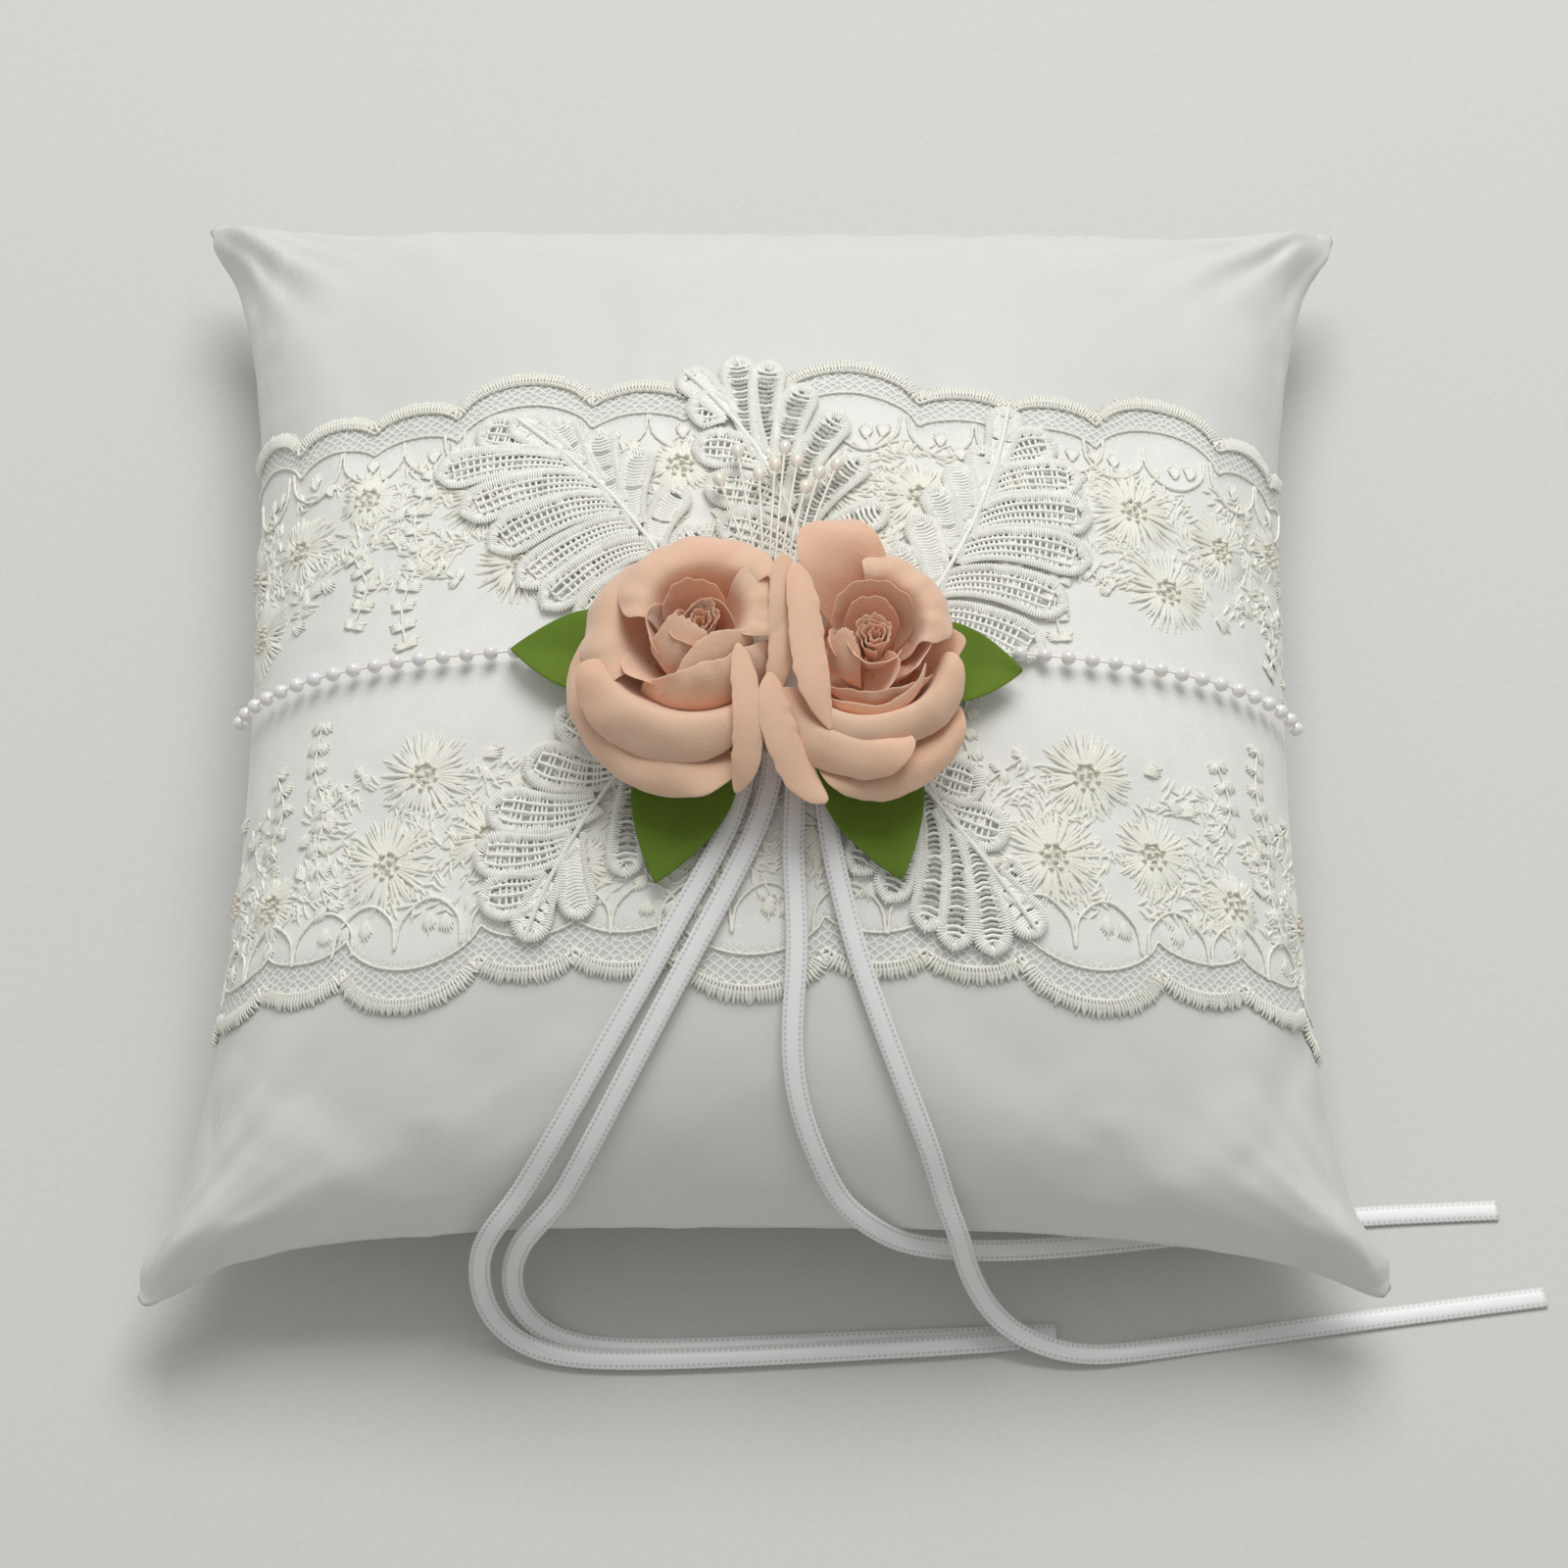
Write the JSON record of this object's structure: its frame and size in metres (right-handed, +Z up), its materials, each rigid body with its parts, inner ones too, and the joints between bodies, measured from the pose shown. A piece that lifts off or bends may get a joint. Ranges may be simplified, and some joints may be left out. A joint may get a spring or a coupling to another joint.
{
  "type": "ring bearer pillow",
  "caption": "Square stuffed satin cushion with a lace band, leaf appliques, pearl string, fabric roses and ribbon tails for tying wedding rings.",
  "frame": {"origin": "on the resting face, under the middle of the cushion", "axes": "+X to the right along the lace band, +Y to the back, -Y to the front where the ribbons hang, +Z up"},
  "size_m": [0.2292, 0.2089, 0.0795],
  "materials": {
    "satin": "off-white satin with a soft sheen",
    "wadding": "white polyester fibre",
    "lace": "ivory cotton embroidery on net",
    "guipure": "white rayon thread, slightly shiny",
    "pearl": "pearlescent",
    "felt": "matt felt",
    "petal_fabric": "thin matt peach silk",
    "leaf_fabric": "green satin-weave fabric",
    "stamen": "pearlised heads on thread",
    "ribbon": "white double-face satin"
  },
  "bodies": {
    "root": {"cover_top_panel": "satin", "cover_back_panel": "satin", "fibre_filling": "wadding", "lace_band": "lace", "applique_upper_left": "guipure", "applique_top": "guipure", "applique_upper_right": "guipure", "applique_lower_left": "guipure", "applique_lower_right": "guipure", "pearl_string": "pearl", "flower_pad": "felt", "leaf_left": "leaf_fabric", "leaf_right": "leaf_fabric", "leaf_lower_left": "leaf_fabric", "leaf_lower_right": "leaf_fabric", "rose_left_base": "petal_fabric", "rose_left_bud": "petal_fabric", "rose_left_petal_1": "petal_fabric", "rose_left_petal_2": "petal_fabric", "rose_left_petal_3": "petal_fabric", "rose_left_petal_4": "petal_fabric", "rose_left_petal_5": "petal_fabric", "rose_left_petal_6": "petal_fabric", "rose_left_petal_7": "petal_fabric", "rose_left_petal_8": "petal_fabric", "rose_right_base": "petal_fabric", "rose_right_bud": "petal_fabric", "rose_right_petal_1": "petal_fabric", "rose_right_petal_2": "petal_fabric", "rose_right_petal_3": "petal_fabric", "rose_right_petal_4": "petal_fabric", "rose_right_petal_5": "petal_fabric", "rose_right_petal_6": "petal_fabric", "rose_right_petal_7": "petal_fabric", "rose_right_petal_8": "petal_fabric", "stamen_1": "stamen", "stamen_2": "stamen", "stamen_3": "stamen", "stamen_4": "stamen", "stamen_5": "stamen", "stamen_6": "stamen", "stamen_7": "stamen", "stamen_8": "stamen", "stamen_9": "stamen", "ribbon_tail_outer_left": "ribbon", "ribbon_tail_inner_left": "ribbon", "ribbon_tail_inner_right": "ribbon", "ribbon_tail_outer_right": "ribbon"}
  },
  "joints": []
}
